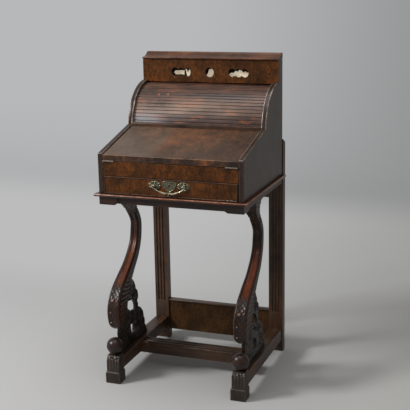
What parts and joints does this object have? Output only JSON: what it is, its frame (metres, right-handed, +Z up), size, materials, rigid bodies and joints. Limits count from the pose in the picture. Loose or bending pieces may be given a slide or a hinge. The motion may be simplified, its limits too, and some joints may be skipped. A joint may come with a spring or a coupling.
{
  "type": "davenport desk",
  "caption": "Small writing desk with a fold-over slope, a sliding tambour, a drawer and a pierced gallery, on carved S-shaped front legs, sledge feet and tall rear posts.",
  "frame": {"origin": "on the floor, under the middle of the whole desk", "axes": "+X the desk's right as the sitter faces it, +Y towards its back, +Z up"},
  "size_m": [0.532, 0.492, 1.106],
  "materials": {
    "carved_wood": "carved, dark stained, waxed",
    "frame_wood": "dark stained, satin wax",
    "case_wood": "dark stained, worn satin wax",
    "burr_veneer": "burr veneer, polished",
    "inner_wood": "plain, lightly polished",
    "tambour_wood": "reeded, worn polish",
    "canvas": "woven backing",
    "writing_leather": "worn hide",
    "dark_lining": "dark, matt",
    "pale_tablet": "cream, matt",
    "hinge_brass": "bright worn brass",
    "aged_brass": "aged, greenish",
    "lock_steel": "plain"
  },
  "bodies": {
    "desk": {"leg_right": "carved_wood", "leg_left": "carved_wood", "leg_bracket_right": "carved_wood", "leg_bracket_left": "carved_wood", "ball_feet": "carved_wood", "foot_block_right": "carved_wood", "foot_block_left": "carved_wood", "sled_right": "frame_wood", "sled_left": "frame_wood", "rear_post_right": "frame_wood", "rear_post_left": "frame_wood", "stretcher": "frame_wood", "rear_rail_upper": "frame_wood", "rear_panel_bead": "frame_wood", "side_rail_right": "frame_wood", "side_rail_left": "frame_wood", "corner_block_right": "frame_wood", "corner_block_left": "frame_wood", "front_under_rail": "frame_wood", "base_moulding": "frame_wood", "gallery_cap": "frame_wood", "end_panel_right": "case_wood", "end_panel_left": "case_wood", "case_back": "case_wood", "bottom_board": "case_wood", "front_rail": "burr_veneer", "gallery_front": "burr_veneer", "rear_panel_lower": "burr_veneer", "dust_board": "inner_wood", "well_back": "inner_wood", "nest_floor": "inner_wood", "nest_shelf": "inner_wood", "nest_divider_right": "inner_wood", "nest_divider_left": "inner_wood", "nest_divider_upper": "inner_wood", "gallery_floor": "inner_wood", "drawer_runners": "inner_wood", "tambour_sill": "tambour_wood", "gallery_liner": "dark_lining", "gallery_plaques": "pale_tablet", "fall_hinge_fixed_leaves": "hinge_brass", "fall_hinge_pins": "hinge_brass"},
    "drawer": {"drawer_front": "burr_veneer", "drawer_cock_bead": "burr_veneer", "drawer_side_right": "inner_wood", "drawer_side_left": "inner_wood", "drawer_bottom": "inner_wood", "drawer_back": "inner_wood", "lock_case": "lock_steel", "escutcheon": "aged_brass", "handle_rosettes": "aged_brass"},
    "bail": {"bail_handle": "aged_brass"},
    "bolt": {"lock_bolt": "lock_steel"},
    "fall": {"fall_board": "case_wood", "writing_leather": "writing_leather", "fall_hinge_moving_leaves": "hinge_brass"},
    "tambour": {"tambour_slats": "tambour_wood", "tambour_canvas": "canvas", "tambour_lead_rail": "tambour_wood"}
  },
  "joints": [
    {"name": "drawer_slide", "type": "slide", "parent": "desk", "child": "drawer", "axis": [0, -1, 0], "range_m": [0, 0.2]},
    {"name": "bail_swing", "type": "hinge", "parent": "drawer", "child": "bail", "pos_m": [0, -0.2405, 0.7155], "axis": [-1, 0, 0], "range_deg": [-8, 185]},
    {"name": "lock_throw", "type": "slide", "parent": "drawer", "child": "bolt", "axis": [0, 0, 1], "range_m": [0, 0.006]},
    {"name": "fall_hinge", "type": "hinge", "parent": "desk", "child": "fall", "pos_m": [0, -0.2352, 0.786], "axis": [1, 0, 0], "range_deg": [0, 166]},
    {"name": "tambour_track", "type": "hinge", "parent": "desk", "child": "tambour", "pos_m": [0, 0.171, 0.85], "axis": [1, 0, 0], "range_deg": [0, 72]}
  ]
}
